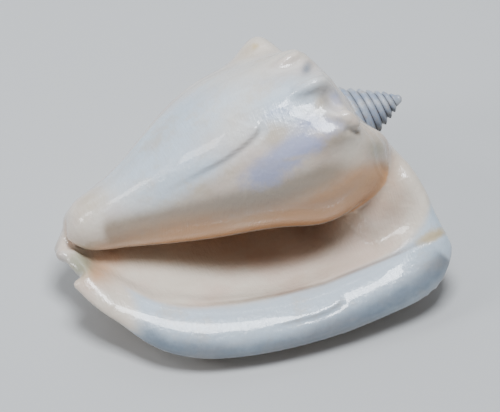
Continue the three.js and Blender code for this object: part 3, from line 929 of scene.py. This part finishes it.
class Nodes:
    """Short calls that add shader nodes to one material."""

    def __init__(self, name):
        self.material = bpy.data.materials.new(name)
        self.material.use_nodes = True
        self.tree = self.material.node_tree
        self.shader = self.tree.nodes["Principled BSDF"]

    def add(self, kind, settings=(), **inputs):
        node = self.tree.nodes.new("ShaderNode" + kind)
        for key, value in dict(settings).items():
            setattr(node, key, value)
        for key, value in inputs.items():
            self.put(node.inputs[key.replace("_", " ")], value)
        return node

    def put(self, socket, value):
        if isinstance(value, bpy.types.NodeSocket):
            self.tree.links.new(value, socket)
        else:
            socket.default_value = value

    def place(self):
        return self.add("TexCoord").outputs["Object"]

    def noise(self, scale, detail, where=None, rough=0.5):
        where = where or self.place()
        node = self.add("TexNoise", Vector=where, Scale=scale, Detail=detail, Roughness=rough)
        return node.outputs["Fac"]

    def stretched(self, x, y, z):
        node = self.add("Mapping", Vector=self.place(), Scale=(x, y, z))
        return node.outputs["Vector"]

    def mark(self, name):
        return self.add("Attribute", {"attribute_name": name}).outputs["Fac"]

    def math(self, operation, a, b, clamp=False):
        node = self.add("Math", {"operation": operation, "use_clamp": clamp})
        self.put(node.inputs[0], a)
        self.put(node.inputs[1], b)
        return node.outputs[0]

    def plus(self, a, b):
        return self.math("ADD", a, b)

    def times(self, a, b, clamp=False):
        return self.math("MULTIPLY", a, b, clamp)

    def between(self, value, low, high):
        node = self.add("MapRange", {"interpolation_type": "SMOOTHSTEP"}, Value=value)
        self.put(node.inputs["From Min"], low)
        self.put(node.inputs["From Max"], high)
        return node.outputs[0]

    def blend(self, share, a, b):
        node = self.add("Mix", {"data_type": "RGBA"})
        self.put(node.inputs["Factor"], share)
        self.put(node.inputs[6], a)
        self.put(node.inputs[7], b)
        return node.outputs[2]

    def finish(self, colour, roughness, coat, coat_roughness):
        self.put(self.shader.inputs["Base Color"], colour)
        self.put(self.shader.inputs["Roughness"], roughness)
        self.shader.inputs["Coat Weight"].default_value = coat
        self.shader.inputs["Coat Roughness"].default_value = coat_roughness

    def uneven(self, height, metres):
        node = self.add("Bump", Height=height, Strength=BUMP_STRENGTH, Distance=metres)
        self.put(self.shader.inputs["Normal"], node.outputs["Normal"])


def paint(red, green, blue):
    """A colour given the way a picture stores it, 0 to 255."""
    parts = [part / 255 for part in (red, green, blue)]
    linear = [c / 12.92 if c <= 0.04045 else ((c + 0.055) / 1.055) ** 2.4 for c in parts]
    return (*linear, 1)


CREAM = paint(232, 220, 204)
ROSE = paint(224, 202, 186)
COOL = paint(198, 216, 232)
TAN = paint(206, 190, 166)
STREAK = paint(190, 164, 134)
SPIRE_LILAC = paint(150, 162, 182)
SPIRE_GREY = paint(188, 192, 198)
SPIRE_FLECK = paint(176, 156, 136)
SEAM_AND_SHADE_DARK = paint(62, 58, 60)
BUMP_STRENGTH = 0.4

# Mark, its colour and its strength at most.
# Slate, grey and crease marks are painted shade; cool is partly the shell's bluish white, partly
# painted cool light; green is partly painted light in the canal.
SOFT_MARKS = [
    ("cool", COOL, 0.9),
    ("slate", paint(110, 122, 136), 0.88),
    ("grey", paint(150, 136, 120), 0.85),
    ("peach", paint(220, 162, 110), 0.95),
    ("green", paint(140, 144, 118), 0.8),
    ("brown", paint(236, 186, 142), 0.9),
    ("crease", paint(120, 100, 84), 0.9),
]
BROKEN_MARKS = [
    ("lavender", paint(148, 163, 212), 0.7),
    ("sand", TAN, 0.75),
    ("gold", paint(216, 188, 132), 0.8),
]


def lay_soft_marks(n, colour, uneven):
    """Marks that fade out, a little unevenly."""
    for name, mark_colour, strength in SOFT_MARKS:
        shape = n.times(n.mark(name), n.plus(n.times(uneven, 0.9), 0.48))
        share = n.times(n.between(shape, 0.02, 0.95), strength, clamp=True)
        colour = n.blend(share, colour, mark_colour)
    return colour


def lay_broken_marks(n, colour, ragged):
    """Marks that break up into ragged patches."""
    for name, mark_colour, strength in BROKEN_MARKS:
        shape = n.between(n.plus(n.mark(name), ragged), 0.2, 1.0)
        share = n.times(shape, n.times(n.mark(name), 2.2, clamp=True))
        colour = n.blend(n.times(share, strength, clamp=True), colour, mark_colour)
    return colour


def shell_material():
    """Polished shell: cream, with soft markings whose edges are broken up by noise. Some markings are
    painted shade, and the cool tone is partly painted cool light.
    """
    n = Nodes("polished_shell")
    broad = n.noise(34, 5, rough=0.6)
    middle = n.noise(75, 5, rough=0.65)
    fine = n.noise(190, 5, rough=0.65)
    growth_lines = n.noise(26, 4, n.stretched(0.8, 3.2, 3.2), 0.6)
    colour = n.blend(n.between(broad, 0.42, 0.66), CREAM, ROSE)
    colour = lay_soft_marks(n, colour, n.plus(n.times(broad, 0.7), n.times(fine, 0.5)))
    colour = lay_broken_marks(n, colour, n.times(n.math("SUBTRACT", middle, 0.5), 1.7))
    mottled = n.math("SUBTRACT", n.mark("cool"), n.mark("slate"), clamp=True)
    mottle = n.times(n.between(middle, 0.5, 0.68), n.times(mottled, 0.4))
    colour = n.blend(mottle, colour, TAN)
    streaked = n.plus(n.times(n.mark("hidden"), 0.4), 0.16)
    colour = n.blend(n.times(n.between(growth_lines, 0.45, 0.7), streaked), colour, STREAK)
    n.finish(colour, n.plus(n.times(fine, 0.2), 0.12), coat=0.6, coat_roughness=0.03)
    striae = n.noise(260, 3, n.stretched(6, 0.7, 0.7), 0.6)
    height = n.plus(n.times(striae, 0.7), n.noise(90, 3))
    n.uneven(n.plus(height, n.times(n.noise(480, 2), 0.8)), 0.0007)
    return n.material


def spire_material():
    """Unpolished lilac grey with tan flecks, darker in the seams, with painted shade on the side toward
    the lip.
    """
    n = Nodes("ribbed_spire")
    broad = n.noise(150, 4, rough=0.6)
    fine = n.noise(520, 4, rough=0.6)
    colour = n.blend(n.between(broad, 0.35, 0.65), SPIRE_LILAC, SPIRE_GREY)
    colour = n.blend(n.times(n.between(fine, 0.5, 0.7), 0.55), colour, SPIRE_FLECK)
    colour = n.blend(n.times(n.mark("seam"), 0.9), colour, SEAM_AND_SHADE_DARK)
    n.finish(colour, n.plus(n.times(fine, 0.3), 0.22), coat=0.25, coat_roughness=0.12)
    n.uneven(fine, 0.0003)
    return n.material


def floor_material():
    n = Nodes("pale_floor")
    n.put(n.shader.inputs["Base Color"], FLOOR_COLOUR)
    n.put(n.shader.inputs["Roughness"], FLOOR_ROUGHNESS)
    return n.material


def add_floor():
    mesh = bpy.data.meshes.new("floor")
    s = FLOOR_HALF
    mesh.from_pydata([(-s, -s, 0), (s, -s, 0), (s, s, 0), (-s, s, 0)], [], [(0, 1, 2, 3)])
    floor = add("floor", mesh)
    mesh.materials.append(floor_material())


def add_softbox(name, toward, distance, width, height, power, colour):
    data = bpy.data.lights.new(name, "AREA")
    data.shape = "RECTANGLE"
    data.size = width
    data.size_y = height
    data.energy = power
    data.color = colour
    direction = from_camera(*toward)
    lamp = add(name, data)
    lamp.location = direction * distance
    lamp.rotation_euler = (-direction).to_track_quat("-Z", "Y").to_euler()


def set_world():
    world = bpy.data.worlds.new("studio")
    world.use_nodes = True
    sky = world.node_tree.nodes["Background"]
    sky.inputs["Color"].default_value = AMBIENT_COLOUR
    sky.inputs["Strength"].default_value = AMBIENT_STRENGTH
    bpy.context.scene.world = world


def add_shell_piece(mesh, material, marks):
    """A finished piece of the shell, with one value at each vertex for each mark."""
    for name, values in marks.items():
        layer = mesh.attributes.new(name, "FLOAT", "POINT")
        layer.data.foreach_set("value", np.ascontiguousarray(values, dtype=np.float32))
    lay_down(mesh)
    mesh.materials.append(material)
    mesh.polygons.foreach_set("use_smooth", [True] * len(mesh.polygons))
    piece = add(mesh.name, mesh)
    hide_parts("conch_shell")
    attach(piece, "root")


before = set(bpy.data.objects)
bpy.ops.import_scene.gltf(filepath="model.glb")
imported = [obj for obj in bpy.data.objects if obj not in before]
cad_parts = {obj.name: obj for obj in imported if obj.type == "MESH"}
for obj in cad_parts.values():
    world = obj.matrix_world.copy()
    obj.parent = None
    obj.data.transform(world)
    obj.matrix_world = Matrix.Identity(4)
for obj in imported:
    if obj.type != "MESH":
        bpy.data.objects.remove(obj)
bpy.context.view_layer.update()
set_camera()

body, facts = grow_body()
body.name = "shell_body"
add_shell_piece(body, shell_material(), markings(in_picture(coordinates(body)), facts))
spire, seam = grow_spire()
add_shell_piece(spire, spire_material(), {"seam": seam})

add_floor()
set_world()
for name, settings in SOFTBOXES.items():
    add_softbox(name, *settings)
